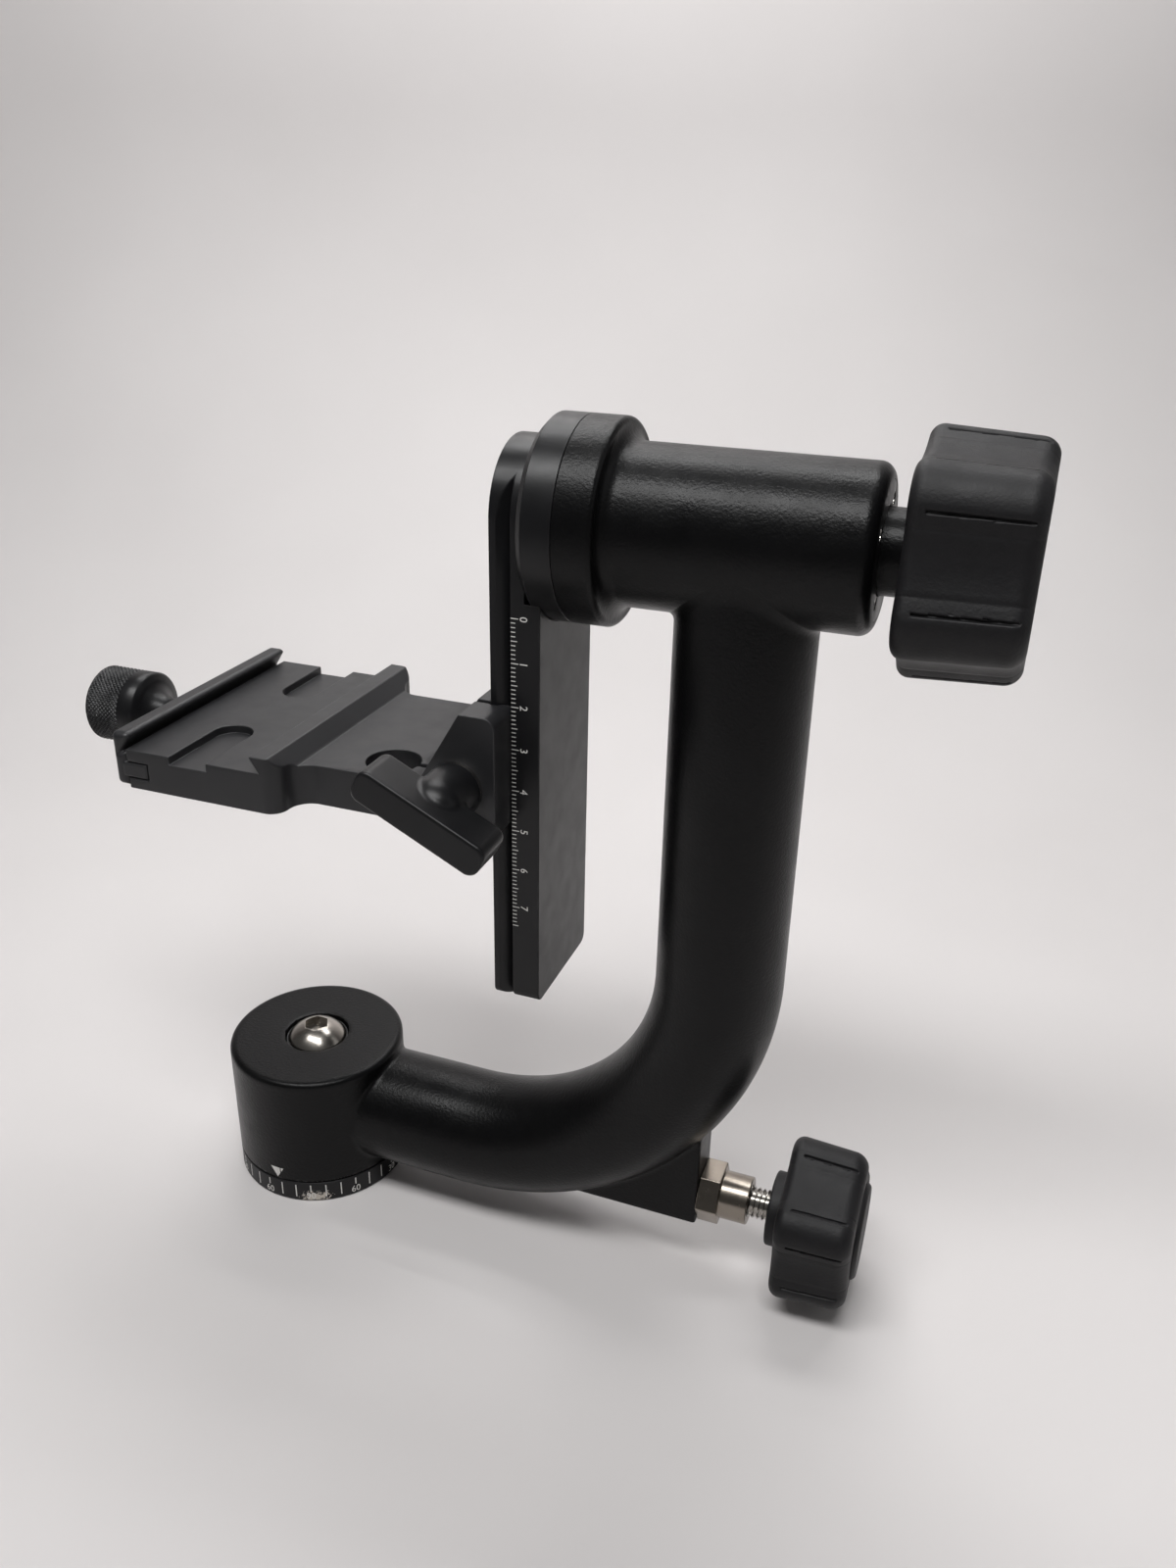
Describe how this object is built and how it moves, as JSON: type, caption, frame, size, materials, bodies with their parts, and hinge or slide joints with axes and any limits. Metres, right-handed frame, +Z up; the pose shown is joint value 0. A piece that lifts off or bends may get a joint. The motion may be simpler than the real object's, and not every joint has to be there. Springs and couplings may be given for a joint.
{
  "type": "gimbal head",
  "caption": "Gimbal tripod head: graduated pan base, J-shaped yoke, swing arm on the tilt axis with a sliding quick-release lens platform, lobed lock knobs.",
  "frame": {"origin": "centre of the base ring's underside, on the pan axis, at the mouth of the tripod thread", "axes": "+Z up the pan axis; +X from the hub along the yoke's foot towards the upright, which is also the tilt axis's direction; +Y away from the clamp handle's side"},
  "size_m": [0.2258, 0.0773, 0.2182],
  "materials": {
    "black_coat": "satin black powder coat over cast aluminium",
    "black_anodised": "matte black anodised",
    "black_plastic": "moulded, satin",
    "steel": "bright turned",
    "nickel": "nickel plated",
    "bronze": "turned",
    "nylon": "natural"
  },
  "bodies": {
    "base": {"base_ring": "black_anodised", "pan_axle": "steel", "axle_screws": "steel", "pan_thrust_washer": "nylon", "pan_cap_washer": "steel", "pan_screw": "steel"},
    "yoke": {"yoke_arm": "black_coat", "pan_bush_lower": "bronze", "pan_bush_upper": "bronze", "pan_lock_bush": "nickel", "tilt_bearing_outer_races": "steel", "tilt_bearing_balls": "steel", "tilt_end_cap": "black_anodised"},
    "pan_brake": {"pan_brake_shoe": "bronze"},
    "pan_lock": {"pan_lock_rod": "steel", "pan_lock_knob": "black_plastic", "pan_lock_cap": "black_plastic"},
    "swing": {"tilt_shaft": "steel", "tilt_bearing_inner_races": "steel", "tilt_spacer": "steel", "tilt_disc": "black_anodised", "tilt_friction_washer": "nylon", "swing_arm": "black_anodised", "swing_arm_bolt": "steel", "swing_arm_screws": "steel"},
    "tilt_collar": {"tilt_sleeve": "black_anodised"},
    "tilt_lock": {"tilt_knob": "black_plastic", "tilt_knob_insert": "bronze", "tilt_knob_cap": "black_plastic"},
    "platform": {"platform": "black_anodised", "qr_springs": "steel"},
    "clamp_pad": {"clamp_washer": "steel"},
    "clamp_lever": {"clamp_screw": "steel", "clamp_handle": "black_anodised"},
    "qr_slider": {"qr_jaw": "black_anodised", "qr_washer": "steel"},
    "qr_grip": {"qr_screw": "steel", "qr_knob": "black_anodised"}
  },
  "joints": [
    {"name": "pan", "type": "hinge", "parent": "base", "child": "yoke", "pos_m": [0, 0, 0.022], "axis": [0, 0, 1], "continuous": true},
    {"name": "tilt", "type": "hinge", "parent": "yoke", "child": "swing", "pos_m": [0.07, 0, 0.1933], "axis": [1, 0, 0], "continuous": true},
    {"name": "platform_height", "type": "slide", "parent": "swing", "child": "platform", "axis": [0, 0, 1], "range_m": [-0.045, 0.035]},
    {"name": "pan_lock_turn", "type": "hinge", "parent": "pan_brake", "child": "pan_lock", "pos_m": [0.14, 0, 0.0214], "axis": [1, 0, 0], "range_deg": [-90, 738]},
    {"name": "pan_brake_travel", "type": "slide", "parent": "yoke", "child": "pan_brake", "axis": [1, 0, 0], "range_m": [-0.00025, 0.0025]},
    {"name": "tilt_lock_turn", "type": "hinge", "parent": "tilt_collar", "child": "tilt_lock", "pos_m": [0.158, 0, 0.1933], "axis": [1, 0, 0], "range_deg": [-18, 558]},
    {"name": "tilt_collar_travel", "type": "slide", "parent": "swing", "child": "tilt_collar", "axis": [1, 0, 0], "range_m": [0, 0.00225]},
    {"name": "clamp_lever_turn", "type": "hinge", "parent": "clamp_pad", "child": "clamp_lever", "pos_m": [0.058, -0.03, 0.1376], "axis": [0, -1, 0], "range_deg": [-18, 738]},
    {"name": "clamp_pad_travel", "type": "slide", "parent": "platform", "child": "clamp_pad", "axis": [0, -1, 0], "range_m": [0, 0.002]},
    {"name": "qr_knob_turn", "type": "hinge", "parent": "qr_slider", "child": "qr_grip", "pos_m": [-0.045, 0, 0.1314], "axis": [-1, 0, 0], "range_deg": [-18, 1458]},
    {"name": "qr_jaw_travel", "type": "slide", "parent": "platform", "child": "qr_slider", "axis": [-1, 0, 0], "range_m": [0, 0.004]}
  ],
  "couplings": [
    {"joint": "pan_lock_turn", "follows": "pan_brake_travel", "rad_per_m": 5026.5},
    {"joint": "tilt_lock_turn", "follows": "tilt_collar_travel", "rad_per_m": 4188.8},
    {"joint": "clamp_lever_turn", "follows": "clamp_pad_travel", "rad_per_m": 6283.2},
    {"joint": "qr_knob_turn", "follows": "qr_jaw_travel", "rad_per_m": 6283.2}
  ]
}
